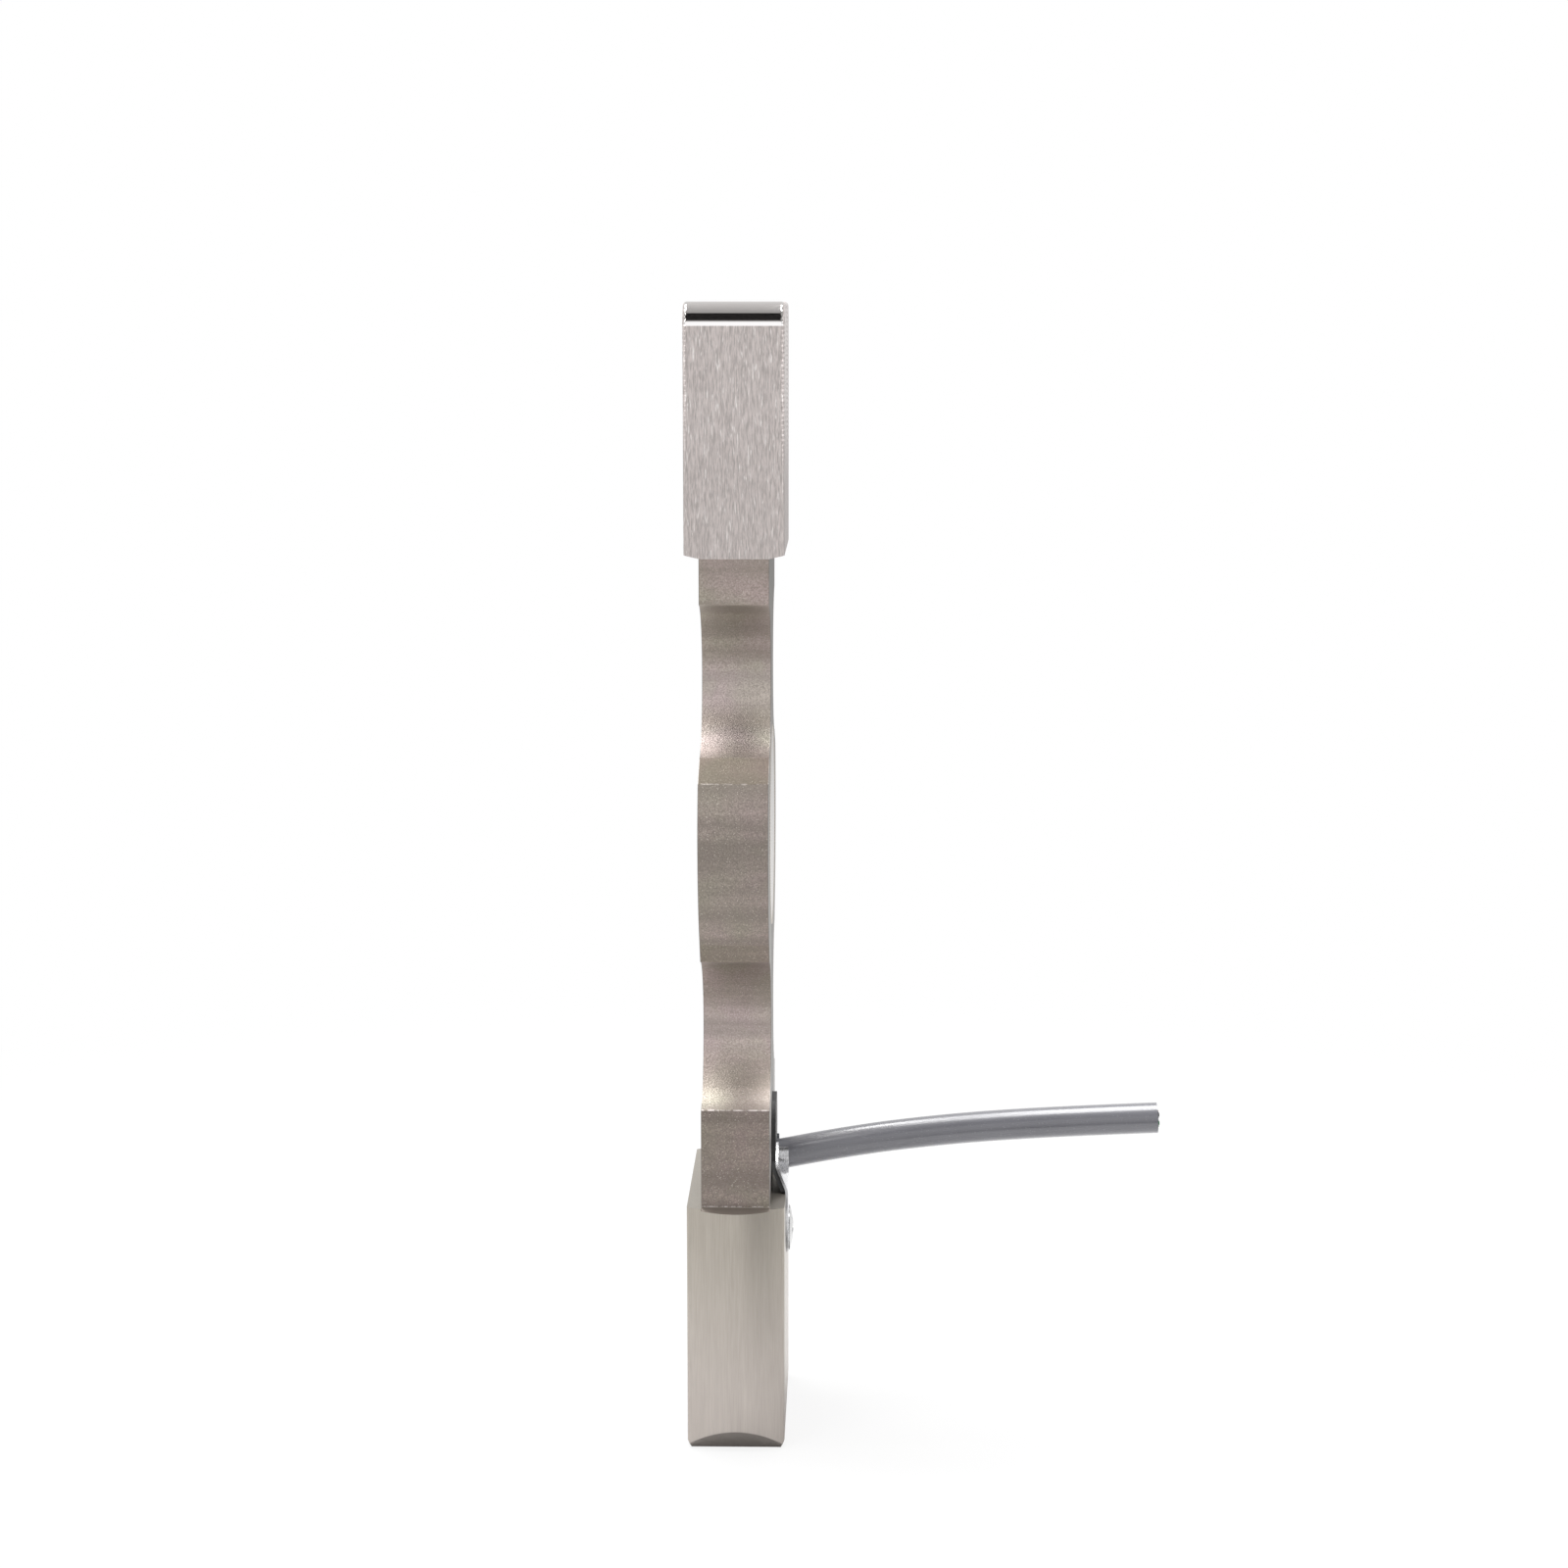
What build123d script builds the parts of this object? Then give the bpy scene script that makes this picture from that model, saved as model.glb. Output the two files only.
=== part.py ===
from build123d import *
from math import asin, atan2, cos, hypot, pi, radians, sin, sqrt, tan
import os

# A slim strain gauge load cell for pull and push, in millimetres.
# Z runs up the load axis from the lower end face, X through the thickness and Y across the width.

# End blocks
BLOCK_THICK = 10.0
BLOCK_WIDTH = 22.0
LOWER_BLOCK_HEIGHT = 25.6
UPPER_BLOCK_HEIGHT = 24.8
LEDGE_DROP = 0.35
EDGE_ROUND = 0.35
TOP_ROUND = 2.4
CROWN_BEVEL_TALL = 2.0
CROWN_BEVEL_INSET = 0.15
FLAT_BEVEL_TALL = 0.8
FLAT_BEVEL_WIDE = 0.4
HEAD_LEDGE_SLOPE = 21.0
MIDDLE_SINK = 1.0

# Thread in each end face, M6
THREAD_DRILL_R = 2.5
THREAD_DEPTH = 13.0
THREAD_MOUTH = 0.5
DRILL_HALF_ANGLE = 59.0

# Thin middle, its scallops and its ring, each height measured from the feature below
MIDDLE_THICK = 7.0
MIDDLE_WIDTH = 22.0
SCALLOP_R = 7.8
SCALLOP_OUT = 1.2
BLOCK_TO_LOWER_SCALLOP = 17.9
LOWER_SCALLOP_TO_RING = 20.0
RING_TO_UPPER_SCALLOP = 16.1
UPPER_SCALLOP_TO_BLOCK = 12.6
RING_R = 16.0
RING_HIGH_EDGE = 6.4
RING_LOW_EDGE = 10.1
BORE_R = 9.0

# Covers in their rebates
COVER_THICK = 0.8
COVER_LAND = 1.2
COVER_GAP = 0.05

# Gauges on the bore's wall
GAUGE_THICK = 0.12
GAUGE_GLUE = 0.03
GAUGE_WIDTH = 3.2
GAUGE_SPAN = 44.0
GAUGE_TO_BOARD = 0.1

# Board on the left cover
BOARD_THICK = 0.8
BOARD_MARGIN = 0.8
BOARD_HOLE_R = 1.6
JOINT_R = 0.45
CORE_JOINT_R = 0.33
JOINT_TALL = 0.3
JOINT_TAPER = 20.0
JOINT_SIDES = 8
JOINT_INSET = 0.9
LEAD_WIDE = 0.3
LEAD_THICK = 0.08
LEAD_SPREAD = 7.0
CHIP_LONG = 2.0
CHIP_WIDE = 1.25
CHIP_TALL = 0.5
CHIP_SPACING = 3.6

# Cable, its cores and their groove
ENTRY_RISE = 2.4
CABLE_R = 1.6
CABLE_ENTRY_CLEAR = 0.2
CABLE_ENTRY_DEPTH = 2.4
CORE_R = 0.25
CORE_SIDES = 8
CORE_PITCH = 0.6
CORE_BEND = 0.7
CORE_STRAIGHT = 0.1
CORE_COUNT = 4
GROOVE_WIDTH = 3.0
GROOVE_DEPTH = 2.0
GROOVE_GAP = 0.05
CORE_RISE = 3.2
CORE_PAD_PITCH = 0.75

# Route of the cable's centre line, as X, Y and Z from the mouth of its entry in the middle's side
CABLE_POINTS = [
    (-0.7, 0.0, -0.10),
    (7.5, 0.0, 1.60),
    (18.5, 0.0, 3.05),
    (30.0, 0.0, 3.90),
    (40.4, 0.0, 4.35),
]
BEND_SHARE = 0.45

# Clip, its rubber pad and its screw
CLIP_THICK = 0.25
CLIP_R = 6.2
CLIP_RISE = 2.2
CLIP_STEP_RISE = 0.1
CLIP_STEP_CLEAR = 0.3
CLIP_BEND_R = 1.2
CLIP_HOLE_GAP = 0.1
LIP_THICK = 0.35
LIP_RISE = 1.1
PAD_THICK = 0.45
PAD_WIDTH = 8.0
PAD_RISE = 6.65
PAD_CORNER_R = 3.0
PAD_INSET = 0.15
PAD_FOOT_GAP = 0.15
PAD_HOLE_GAP = 0.05
SCREW_DROP = 5.4
SCREW_R = 1.25
SCREW_REACH = 3.4
SCREW_HOLE_GAP = 0.06
SCREW_HOLE_DEPTH = 4.2
HEAD_R = 2.35
HEAD_RIM = 0.12
HEAD_DOME = 0.34
RECESS_LONG = 2.2
RECESS_WIDE = 0.5
RECESS_DEEP = 0.3

# How far a cut starts outside the surface that it enters
CUT_PAST = 1.0

# Heights that follow from those above
LOWER_BLOCK_TOP = LOWER_BLOCK_HEIGHT
LOWER_SCALLOP_Z = LOWER_BLOCK_TOP + BLOCK_TO_LOWER_SCALLOP
RING_Z = LOWER_SCALLOP_Z + LOWER_SCALLOP_TO_RING
UPPER_SCALLOP_Z = RING_Z + RING_TO_UPPER_SCALLOP
UPPER_BLOCK_FOOT = UPPER_SCALLOP_Z + UPPER_SCALLOP_TO_BLOCK
BODY_HEIGHT = UPPER_BLOCK_FOOT + UPPER_BLOCK_HEIGHT
ENTRY_Z = LOWER_BLOCK_TOP + ENTRY_RISE
CLIP_CENTRE_Z = ENTRY_Z + CLIP_RISE - CLIP_R
CLIP_FOOT = CLIP_CENTRE_Z - CLIP_R
CLIP_STEP_TOP = ENTRY_Z + CLIP_STEP_RISE
CLIP_STEP_FOOT = LOWER_BLOCK_TOP + CLIP_STEP_CLEAR
PAD_TOP = ENTRY_Z + PAD_RISE
SCREW_Z = LOWER_BLOCK_TOP - SCREW_DROP

# Widths and radii that follow
BLOCK_SIDE = BLOCK_THICK / 2
BLOCK_EDGE = BLOCK_WIDTH / 2
MIDDLE_SIDE = MIDDLE_THICK / 2
MIDDLE_EDGE = MIDDLE_WIDTH / 2
CROWN_R = hypot(BLOCK_SIDE, BLOCK_EDGE)
REBATE_R = BORE_R + COVER_LAND
COVER_INNER_X = MIDDLE_SIDE - COVER_THICK
BOARD_FACE_X = BOARD_THICK - COVER_INNER_X
BOARD_R = BORE_R - BOARD_MARGIN
GAUGE_INNER_R = BORE_R - GAUGE_GLUE - GAUGE_THICK
JOINT_RING_R = BOARD_R - JOINT_INSET
CABLE_ROUTE = [(MIDDLE_SIDE + x, y, ENTRY_Z + z) for x, y, z in CABLE_POINTS]
ENTRY_R = CABLE_R + CABLE_ENTRY_CLEAR
GROOVE_FLOOR_X = MIDDLE_SIDE - GROOVE_DEPTH
PAD_FACE_X = MIDDLE_SIDE + PAD_THICK
CLIP_UPPER_X = PAD_FACE_X + CLIP_THICK / 2
CLIP_LOWER_X = BLOCK_SIDE + CLIP_THICK / 2
CLIP_FACE_X = BLOCK_SIDE + CLIP_THICK
CLIP_SLOPE = atan2(CLIP_LOWER_X - CLIP_UPPER_X, CLIP_STEP_TOP - CLIP_STEP_FOOT)


def along_x(radius, start, end, y=0.0, z=0.0):
    """A round bar along X from start to end."""
    return Pos(start, y, z) * Rot(0, 90, 0) * Cylinder(
        radius, end - start, align=(Align.CENTER, Align.CENTER, Align.MIN)
    )


def save(shape, node):
    """Writes one piece as a STEP file named after its node."""
    export_step(shape, f"parts/{node}.step")


def middle_half_outline():
    """One side of the middle's outline, from foot to head: flat, scallop, ring, scallop, flat."""
    half_chord = sqrt(SCALLOP_R**2 - SCALLOP_OUT**2)
    neck_edge = MIDDLE_EDGE + SCALLOP_OUT - SCALLOP_R
    foot = (MIDDLE_EDGE, LOWER_BLOCK_TOP - MIDDLE_SINK)
    head = (MIDDLE_EDGE, UPPER_BLOCK_FOOT + MIDDLE_SINK)
    low_start = (MIDDLE_EDGE, LOWER_SCALLOP_Z - half_chord)
    low_end = (MIDDLE_EDGE, LOWER_SCALLOP_Z + half_chord)
    high_start = (MIDDLE_EDGE, UPPER_SCALLOP_Z - half_chord)
    high_end = (MIDDLE_EDGE, UPPER_SCALLOP_Z + half_chord)
    ring_low = (sqrt(RING_R**2 - RING_LOW_EDGE**2), RING_Z - RING_LOW_EDGE)
    ring_high = (sqrt(RING_R**2 - RING_HIGH_EDGE**2), RING_Z + RING_HIGH_EDGE)
    return [
        Line((0, foot[1]), foot),
        Line(foot, low_start),
        ThreePointArc(low_start, (neck_edge, LOWER_SCALLOP_Z), low_end),
        Line(low_end, ring_low),
        ThreePointArc(ring_low, (RING_R, RING_Z), ring_high),
        Line(ring_high, high_start),
        ThreePointArc(high_start, (neck_edge, UPPER_SCALLOP_Z), high_end),
        Line(high_end, head),
        Line(head, (0, head[1])),
    ]


def middle():
    """The wire-cut middle between the end blocks."""
    half = middle_half_outline()
    outline = Curve() + half + [mirror(edge, Plane.YZ) for edge in half]
    return extrude(Plane.YZ * make_face(outline.edges()), MIDDLE_SIDE, both=True)


def bevelled_outline(reach, bevel_wide, bevel_tall):
    """A rectangle from the ground up to the lower block's top, with both its low corners bevelled."""
    return Polygon(
        (-reach + bevel_wide, 0),
        (reach - bevel_wide, 0),
        (reach, bevel_tall),
        (reach, LOWER_BLOCK_TOP),
        (-reach, LOWER_BLOCK_TOP),
        (-reach, bevel_tall),
        align=None,
    )


def head_ledge():
    """The sloping cut that the middle's outline leaves in the lower block's head, at the +Y side."""
    outer = CROWN_R + CUT_PAST
    drop = (outer - BLOCK_EDGE) * tan(radians(HEAD_LEDGE_SLOPE))
    wedge = Polygon(
        (BLOCK_EDGE, LOWER_BLOCK_TOP),
        (outer, LOWER_BLOCK_TOP - drop),
        (outer, LOWER_BLOCK_TOP),
        align=None,
    )
    return extrude(Plane.YZ * wedge, MIDDLE_SIDE, both=True)


def lower_block():
    """The lower end block: a round bar with two flats, a bevelled foot and a ledge at its head."""
    bar = Cylinder(CROWN_R, LOWER_BLOCK_TOP, align=(Align.CENTER, Align.CENTER, Align.MIN))
    flats = Box(
        BLOCK_THICK,
        2 * CROWN_R + CUT_PAST,
        LOWER_BLOCK_TOP,
        align=(Align.CENTER, Align.CENTER, Align.MIN),
    )
    block = bar & flats
    block = fillet(block.edges().filter_by(Axis.Z), EDGE_ROUND)
    crown_inset = CROWN_R - BLOCK_EDGE + CROWN_BEVEL_INSET
    side = bevelled_outline(CROWN_R, crown_inset, CROWN_BEVEL_TALL)
    front = bevelled_outline(BLOCK_SIDE, FLAT_BEVEL_WIDE, FLAT_BEVEL_TALL)
    block = block & extrude(Plane.YZ * side, BLOCK_THICK, both=True)
    block = block & extrude(Plane.XZ * front, BLOCK_WIDTH, both=True)
    ledge = head_ledge()
    return block - ledge - mirror(ledge, Plane.XZ)


def upper_block():
    """The upper end block: flat faces, a round along each top edge and a sloping underside ledge."""
    foot = UPPER_BLOCK_FOOT - LEDGE_DROP
    side = Pos(0, (foot + BODY_HEIGHT) / 2) * Rectangle(BLOCK_WIDTH, BODY_HEIGHT - foot)
    side = fillet(side.vertices().group_by(Axis.Y)[-1], TOP_ROUND)
    front = Polygon(
        (-BLOCK_SIDE, UPPER_BLOCK_FOOT),
        (-MIDDLE_SIDE, foot),
        (MIDDLE_SIDE, foot),
        (BLOCK_SIDE, UPPER_BLOCK_FOOT),
        (BLOCK_SIDE, BODY_HEIGHT),
        (-BLOCK_SIDE, BODY_HEIGHT),
        align=None,
    )
    block = extrude(Plane.YZ * side, BLOCK_SIDE, both=True)
    block = block & extrude(Plane.XZ * front, BLOCK_WIDTH, both=True)
    return fillet(block.edges().filter_by(Axis.Z), EDGE_ROUND)


def thread_hole():
    """A drilled and countersunk hole for an M6 thread, up from the origin."""
    drill = Cylinder(
        THREAD_DRILL_R, THREAD_DEPTH, align=(Align.CENTER, Align.CENTER, Align.MIN)
    )
    point = THREAD_DRILL_R / tan(radians(DRILL_HALF_ANGLE))
    tip = Pos(0, 0, THREAD_DEPTH) * Cone(
        THREAD_DRILL_R, 0, point, align=(Align.CENTER, Align.CENTER, Align.MIN)
    )
    mouth = Cone(
        THREAD_DRILL_R + THREAD_MOUTH,
        THREAD_DRILL_R,
        THREAD_MOUTH,
        align=(Align.CENTER, Align.CENTER, Align.MIN),
    )
    return drill + tip + mouth


def spring_body():
    """The whole steel element, with its bore, cover rebates, core groove, cable entry and threads."""
    body = middle() + lower_block() + upper_block()
    body -= along_x(BORE_R, -BLOCK_THICK, BLOCK_THICK, z=RING_Z)
    body -= along_x(REBATE_R, COVER_INNER_X, BLOCK_THICK, z=RING_Z)
    body -= along_x(REBATE_R, -BLOCK_THICK, -COVER_INNER_X, z=RING_Z)
    body -= along_x(ENTRY_R, MIDDLE_SIDE - CABLE_ENTRY_DEPTH, MIDDLE_SIDE + CUT_PAST, z=ENTRY_Z)
    body -= Pos(GROOVE_FLOOR_X, 0, ENTRY_Z) * Box(
        GROOVE_DEPTH + CUT_PAST,
        GROOVE_WIDTH,
        RING_Z - ENTRY_Z,
        align=(Align.MIN, Align.CENTER, Align.MIN),
    )
    body -= along_x(
        SCREW_R + SCREW_HOLE_GAP,
        BLOCK_SIDE - SCREW_HOLE_DEPTH,
        BLOCK_SIDE + CUT_PAST,
        z=SCREW_Z,
    )
    body -= thread_hole()
    body -= Pos(0, 0, BODY_HEIGHT) * Rot(180, 0, 0) * thread_hole()
    return body


def cover():
    """The right-hand cover; the left-hand one is its mirror image."""
    return along_x(REBATE_R - COVER_GAP, COVER_INNER_X, MIDDLE_SIDE, z=RING_Z)


def gauge(angle):
    """A foil gauge on the bore's wall, at an angle about the bore from the +Y side."""
    outer = BORE_R - GAUGE_GLUE
    ring = Circle(outer) - Circle(GAUGE_INNER_R)
    reach = 2 * BORE_R
    spread = reach * tan(radians(GAUGE_SPAN / 2))
    wedge = Polygon((0, 0), (reach, -spread), (reach, spread), align=None)
    face = Plane.YZ * (Rot(0, 0, angle) * (ring & wedge))
    return Pos(BOARD_FACE_X + GAUGE_TO_BOARD, 0, RING_Z) * extrude(face, GAUGE_WIDTH, dir=(1, 0, 0))


def terminal_board():
    """The round board on the left cover, with a hole at its centre."""
    board = along_x(BOARD_R, -COVER_INNER_X, BOARD_FACE_X, z=RING_Z)
    return board - along_x(BOARD_HOLE_R, -COVER_INNER_X, BOARD_FACE_X, z=RING_Z)


def balance_resistors():
    """Two chip resistors, one on each side of the board's hole."""
    chips = [
        Pos(BOARD_FACE_X, side * CHIP_SPACING, RING_Z)
        * Box(CHIP_TALL, CHIP_WIDE, CHIP_LONG, align=(Align.MIN, Align.CENTER, Align.CENTER))
        for side in (-1, 1)
    ]
    return Compound(children=chips)


def lead_angles():
    """The angle of each gauge lead about the bore: two for each of the four gauges."""
    return [quarter + side * LEAD_SPREAD for quarter in (0, 90, 180, 270) for side in (-1, 1)]


def core_offset(index, pitch):
    """Where core number index lies across the width, for a given pitch."""
    return (index - (CORE_COUNT - 1) / 2) * pitch


def core_pad_z():
    """Height of the cores' joints on the board."""
    return RING_Z - BORE_R + CORE_RISE


def joint(radius, y, z):
    """A solder joint on the board, narrower at its top."""
    base = Plane(origin=(BOARD_FACE_X, y, z), x_dir=(0, 1, 0), z_dir=(1, 0, 0))
    return extrude(base * RegularPolygon(radius, JOINT_SIDES), JOINT_TALL, taper=JOINT_TAPER)


def lead_joint(angle):
    """The joint of one gauge lead, near the board's edge."""
    turn = radians(angle)
    return joint(JOINT_R, JOINT_RING_R * cos(turn), RING_Z + JOINT_RING_R * sin(turn))


def solder_joints():
    """The joints of the gauge leads, round the board's edge, and of the four cores."""
    joints = [lead_joint(angle) for angle in lead_angles()]
    joints += [
        joint(CORE_JOINT_R, core_offset(index, CORE_PAD_PITCH), core_pad_z())
        for index in range(CORE_COUNT)
    ]
    return Compound(children=joints)


def gauge_leads():
    """Short straight ribbons from each gauge in to its joint on the board."""
    reach = sqrt(GAUGE_INNER_R**2 - (LEAD_WIDE / 2) ** 2)
    ribbon = Pos(BOARD_FACE_X + JOINT_TALL / 2, JOINT_RING_R, 0) * Box(
        LEAD_THICK,
        reach - JOINT_RING_R,
        LEAD_WIDE,
        align=(Align.CENTER, Align.MIN, Align.CENTER),
    )
    leads = [
        Pos(0, 0, RING_Z) * Rot(angle, 0, 0) * ribbon - lead_joint(angle) for angle in lead_angles()
    ]
    return Compound(children=leads)


def cable_axis():
    """A plane at the cable's start, facing along its first run."""
    start = Vector(*CABLE_ROUTE[0])
    run = Vector(*CABLE_ROUTE[1]) - start
    return Plane(origin=start, x_dir=(0, 1, 0), z_dir=run)


def core_route(index):
    """A core's centre line: square out of the sheath, up the groove and on to its joint."""
    low = core_offset(index, CORE_PITCH)
    high = core_offset(index, CORE_PAD_PITCH)
    mouth = cable_axis()
    back = -mouth.z_dir
    turn = radians(back.get_angle(Vector(0, 0, 1)))
    corner = mouth.origin + back * (CORE_BEND * tan(turn / 2) + CORE_STRAIGHT)
    points = [
        (mouth.origin.X, low, mouth.origin.Z),
        (corner.X, low, corner.Z),
        (corner.X, high, core_pad_z()),
        (BOARD_FACE_X + JOINT_TALL, high, core_pad_z()),
    ]
    return FilletPolyline(*points, radius=CORE_BEND)


def along(path, section):
    """A solid of one section along a path."""
    start = Plane(origin=path @ 0, z_dir=path % 0)
    return sweep(start * section, path=path)


def channel_compound(cores):
    """The compound that fills the groove flush with the middle's side, round the four cores."""
    foot = ENTRY_Z + ENTRY_R + GROOVE_GAP
    head = RING_Z - REBATE_R
    fill = Pos(GROOVE_FLOOR_X + GROOVE_GAP, 0, foot) * Box(
        GROOVE_DEPTH - GROOVE_GAP,
        GROOVE_WIDTH - 2 * GROOVE_GAP,
        head - foot,
        align=(Align.MIN, Align.CENTER, Align.MIN),
    )
    fill -= along_x(REBATE_R, GROOVE_FLOOR_X, BLOCK_THICK, z=RING_Z)
    for core in cores:
        fill -= core
    return fill


def behind(offset):
    """All on the element's side of the clip's middle line, with that line shifted outwards by offset."""
    corner = offset * tan(CLIP_SLOPE / 2)
    line = FilletPolyline(
        (CLIP_UPPER_X + offset, PAD_TOP),
        (CLIP_UPPER_X + offset, CLIP_STEP_TOP + corner),
        (CLIP_LOWER_X + offset, CLIP_STEP_FOOT + corner),
        (CLIP_LOWER_X + offset, CLIP_FOOT),
        radius=CLIP_BEND_R,
    )
    closing = Polyline(line @ 0, (0, PAD_TOP), (0, CLIP_FOOT), line @ 1)
    face = make_face(line.edges() + closing.edges())
    return extrude(Plane.XZ * face, CLIP_R, both=True)


def clip_disc(radius):
    """A round bar along X that has the clip's outline, or one inside it."""
    return along_x(radius, 0, BLOCK_THICK, z=CLIP_CENTRE_Z)


def clip_lip(hole_r):
    """The half collar under the cable, from the clip's inner face out to the face of its lower half."""
    mouth = cable_axis()
    middle_x = (CLIP_UPPER_X + CLIP_FACE_X) / 2
    slope = mouth.z_dir.Z / mouth.z_dir.X
    height = mouth.origin.Z + (middle_x - mouth.origin.X) * slope
    collar = along_x(hole_r + LIP_THICK, MIDDLE_SIDE, CLIP_FACE_X, z=height)
    collar = split(collar, Plane.XY.offset(height + LIP_RISE), keep=Keep.BOTTOM)
    return collar - behind(-CLIP_THICK / 2)


def cable_clip():
    """The joggled round clip, with a slot for the cable, a lip under it and a screw hole."""
    half = CLIP_THICK / 2
    hole_r = CABLE_R + CLIP_HOLE_GAP
    clip = (behind(half) - behind(-half)) & clip_disc(CLIP_R)
    slot = Pos(0, 0, ENTRY_Z) * Box(
        2 * BLOCK_THICK, 2 * hole_r, 2 * CLIP_R, align=(Align.CENTER, Align.CENTER, Align.MIN)
    )
    clip = clip - slot + clip_lip(hole_r)
    clip -= cable_axis() * Cylinder(
        hole_r, BLOCK_THICK, align=(Align.CENTER, Align.CENTER, Align.MIN)
    )
    return clip - along_x(SCREW_R + CLIP_HOLE_GAP, 0, BLOCK_THICK, z=SCREW_Z)


def sealing_pad():
    """The rubber sheet between the middle's side and the clip, with a round-cornered tongue above it."""
    half = CLIP_THICK / 2
    tongue = Pos(0, (CLIP_FOOT + PAD_TOP) / 2) * RectangleRounded(
        PAD_WIDTH, PAD_TOP - CLIP_FOOT, PAD_CORNER_R
    )
    outline = clip_disc(CLIP_R - PAD_INSET) + extrude(Plane.YZ * tongue, BLOCK_THICK)
    pad = (behind(-half) - behind(-half - PAD_THICK)) & outline
    pad = split(pad, Plane.XY.offset(LOWER_BLOCK_TOP + PAD_FOOT_GAP), keep=Keep.TOP)
    return pad - cable_axis() * Cylinder(
        CABLE_R + PAD_HOLE_GAP, BLOCK_THICK, align=(Align.CENTER, Align.CENTER, Align.MIN)
    )


def clip_screw():
    """The low dome screw with a cross recess, turned about the X axis."""
    tip_x = BLOCK_SIDE - SCREW_REACH
    rim_x = CLIP_FACE_X + HEAD_RIM
    top_x = rim_x + HEAD_DOME
    dome_r = (HEAD_R**2 + HEAD_DOME**2) / (2 * HEAD_DOME)
    half_way = asin(HEAD_R / dome_r) / 2
    on_dome = (top_x - dome_r * (1 - cos(half_way)), dome_r * sin(half_way))
    outline = [
        Polyline((top_x, 0), (tip_x, 0), (tip_x, SCREW_R), (CLIP_FACE_X, SCREW_R)),
        Polyline((CLIP_FACE_X, SCREW_R), (CLIP_FACE_X, HEAD_R), (rim_x, HEAD_R)),
        ThreePointArc((rim_x, HEAD_R), on_dome, (top_x, 0)),
    ]
    face = make_face([edge for line in outline for edge in line.edges()])
    screw = revolve(Plane.XZ * face, Axis.X)
    recess = Box(2 * RECESS_DEEP, RECESS_LONG, RECESS_WIDE)
    recess += Box(2 * RECESS_DEEP, RECESS_WIDE, RECESS_LONG)
    screw -= Pos(top_x, 0, 0) * recess
    return Pos(0, 0, SCREW_Z) * screw


def cable_radii():
    """The radius of each bend of the cable, as large as its two runs allow."""
    points = [Vector(*p) for p in CABLE_ROUTE]
    runs = [b - a for a, b in zip(points, points[1:])]
    radii = []
    for before, after in zip(runs, runs[1:]):
        half_turn = radians(before.get_angle(after)) / 2
        radii.append(BEND_SHARE * min(before.length, after.length) / tan(half_turn))
    return radii


def cable_sheath():
    """The cable as one round tube along its route."""
    radii = cable_radii()
    path = FilletPolyline(*CABLE_ROUTE, radius=radii)
    solid = along(path, Circle(CABLE_R))
    print("cable radii", [round(r, 1) for r in radii], "length", round(path.length, 2))
    section = pi * CABLE_R**2
    print("cable volume", round(solid.volume, 3), "section by length", round(section * path.length, 3))
    return solid


def main():
    """Builds every piece and writes it under its node's name."""
    os.makedirs("parts", exist_ok=True)
    save(spring_body(), "spring_body")
    save(cover(), "cover_right")
    save(mirror(cover(), Plane.YZ), "cover_left")
    for name, angle in (("rear", 0), ("top", 90), ("front", 180), ("bottom", 270)):
        save(gauge(angle), f"gauge_{name}")
    save(terminal_board(), "terminal_board")
    save(balance_resistors(), "balance_resistors")
    save(solder_joints(), "solder_joints")
    save(gauge_leads(), "gauge_leads")
    section = RegularPolygon(CORE_R, CORE_SIDES)
    cores = [along(core_route(index), section) for index in range(CORE_COUNT)]
    for colour, core in zip(("red", "black", "green", "white"), cores):
        save(core, f"core_{colour}")
    save(channel_compound(cores), "channel_compound")
    save(sealing_pad(), "sealing_pad")
    save(cable_clip(), "cable_clip")
    save(clip_screw(), "clip_screw")
    save(cable_sheath(), "cable_sheath")


main()
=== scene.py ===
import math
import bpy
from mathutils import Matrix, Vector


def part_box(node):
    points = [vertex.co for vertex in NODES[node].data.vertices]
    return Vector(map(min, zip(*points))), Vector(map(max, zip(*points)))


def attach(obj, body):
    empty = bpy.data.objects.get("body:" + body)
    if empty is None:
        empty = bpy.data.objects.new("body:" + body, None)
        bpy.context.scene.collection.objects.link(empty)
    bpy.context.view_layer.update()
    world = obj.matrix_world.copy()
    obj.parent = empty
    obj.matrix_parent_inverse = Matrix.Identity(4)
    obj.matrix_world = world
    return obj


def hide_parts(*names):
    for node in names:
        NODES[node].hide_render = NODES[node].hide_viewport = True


bl_info = {
    "name": "Strain Gauge Load Cell",
    "version": (1, 0, 0),
    "blender": (4, 5, 0),
    "location": "View3D > Sidebar > Load Cell",
    "description": "Finishes, threads, welds, cable and studio for a slim strain gauge load cell",
    "category": "Object",
}

import bmesh
import bpy
from mathutils import Matrix, Vector

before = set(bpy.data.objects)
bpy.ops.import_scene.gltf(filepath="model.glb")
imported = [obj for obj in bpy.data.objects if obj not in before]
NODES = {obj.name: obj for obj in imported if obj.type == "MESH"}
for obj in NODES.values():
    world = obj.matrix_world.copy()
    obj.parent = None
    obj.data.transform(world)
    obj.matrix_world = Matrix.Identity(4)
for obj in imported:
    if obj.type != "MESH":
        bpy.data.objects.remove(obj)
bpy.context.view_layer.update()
ELEMENT_LOW, ELEMENT_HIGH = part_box("spring_body")
COVER_LOW, COVER_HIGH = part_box("cover_right")
RING_CENTRE = (COVER_LOW + COVER_HIGH) / 2
MM = 0.001

# Slopes of the lower block's foot bevel, as run over rise, and of the ledge at its head, as fall over run
FOOT_BEVEL_RUN = 0.615
HEAD_LEDGE_FALL = 0.384

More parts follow.
